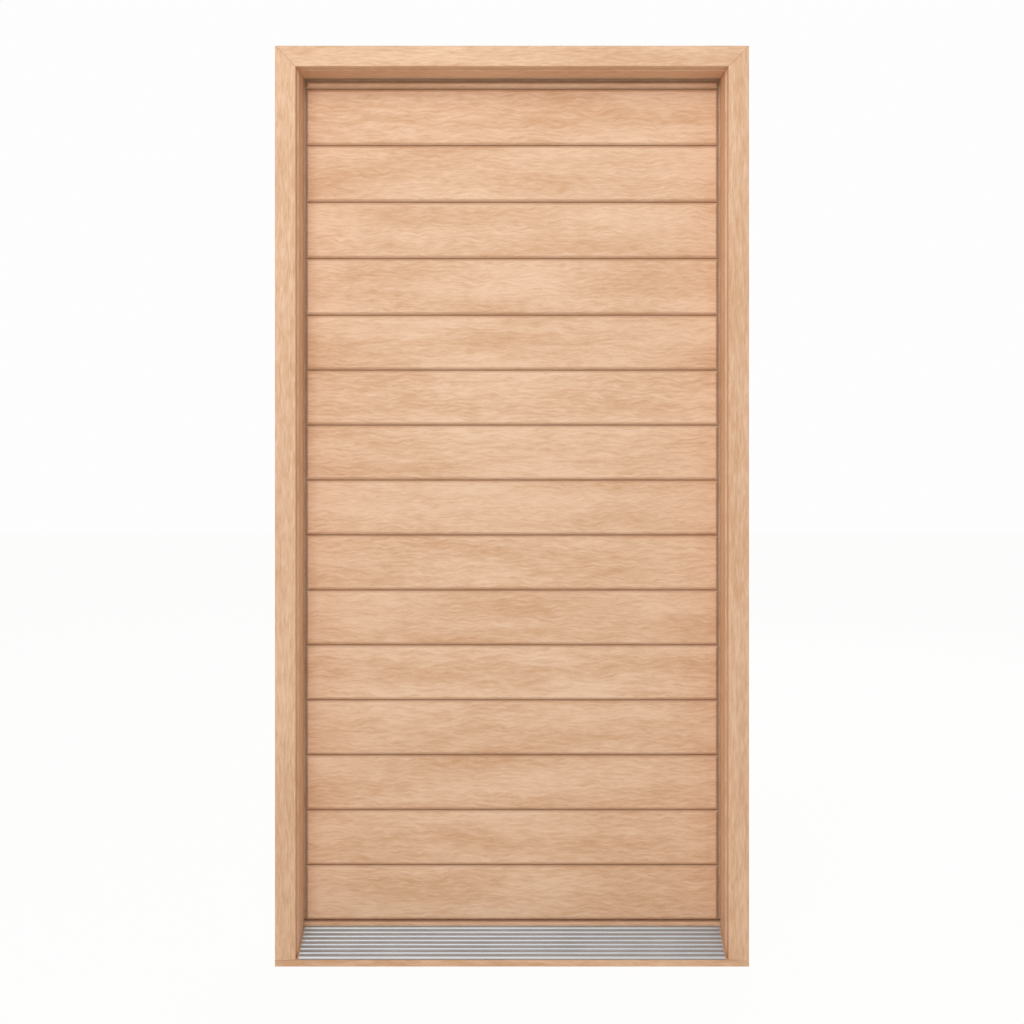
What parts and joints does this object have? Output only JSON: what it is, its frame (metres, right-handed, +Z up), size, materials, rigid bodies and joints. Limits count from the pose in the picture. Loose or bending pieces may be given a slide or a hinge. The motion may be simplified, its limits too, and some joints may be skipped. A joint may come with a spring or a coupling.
{
  "type": "plank door in its frame",
  "caption": "Inswing exterior door of horizontal bevelled planks in a cased and rabbeted wooden frame with a fluted metal threshold.",
  "frame": {"origin": "on the sill's underside, midway across, in the plane of the jambs' front edges", "axes": "+X to the right seen from outside, +Y inwards through the wall, +Z up"},
  "size_m": [1.159, 0.162, 2.251],
  "materials": {
    "plank_wood": "bare fine-grained timber",
    "frame_wood": "bare fine-grained timber",
    "core_wood": "sawn core",
    "threshold_metal": "mill finish",
    "weatherstrip": "matt",
    "hinge_metal": "satin"
  },
  "bodies": {
    "frame": {"sill": "frame_wood", "threshold": "threshold_metal", "threshold_cap": "frame_wood", "hinge_jamb": "frame_wood", "latch_jamb": "frame_wood", "head_jamb": "frame_wood", "casing_left": "frame_wood", "casing_right": "frame_wood", "casing_head": "frame_wood", "weatherstrip_hinge": "weatherstrip", "weatherstrip_latch": "weatherstrip", "weatherstrip_head": "weatherstrip", "hinge_top_jamb_plate": "hinge_metal", "hinge_middle_jamb_plate": "hinge_metal", "hinge_bottom_jamb_plate": "hinge_metal", "hinge_top_pin": "hinge_metal", "hinge_middle_pin": "hinge_metal", "hinge_bottom_pin": "hinge_metal"},
    "leaf": {"plank_top_strip": "plank_wood", "plank_01": "plank_wood", "plank_02": "plank_wood", "plank_03": "plank_wood", "plank_04": "plank_wood", "plank_05": "plank_wood", "plank_06": "plank_wood", "plank_07": "plank_wood", "plank_08": "plank_wood", "plank_09": "plank_wood", "plank_10": "plank_wood", "plank_11": "plank_wood", "plank_12": "plank_wood", "plank_13": "plank_wood", "plank_14": "plank_wood", "plank_15": "plank_wood", "inside_planks": "plank_wood", "leaf_core": "core_wood", "hinge_stile": "frame_wood", "latch_stile": "frame_wood", "top_rail": "frame_wood", "hinge_top_leaf_plate": "hinge_metal", "hinge_middle_leaf_plate": "hinge_metal", "hinge_bottom_leaf_plate": "hinge_metal"}
  },
  "joints": [
    {"name": "door_swing", "type": "hinge", "parent": "frame", "child": "leaf", "pos_m": [0.5365, 0.1305, 0], "axis": [0, 0, -1], "range_deg": [0, 180]}
  ]
}
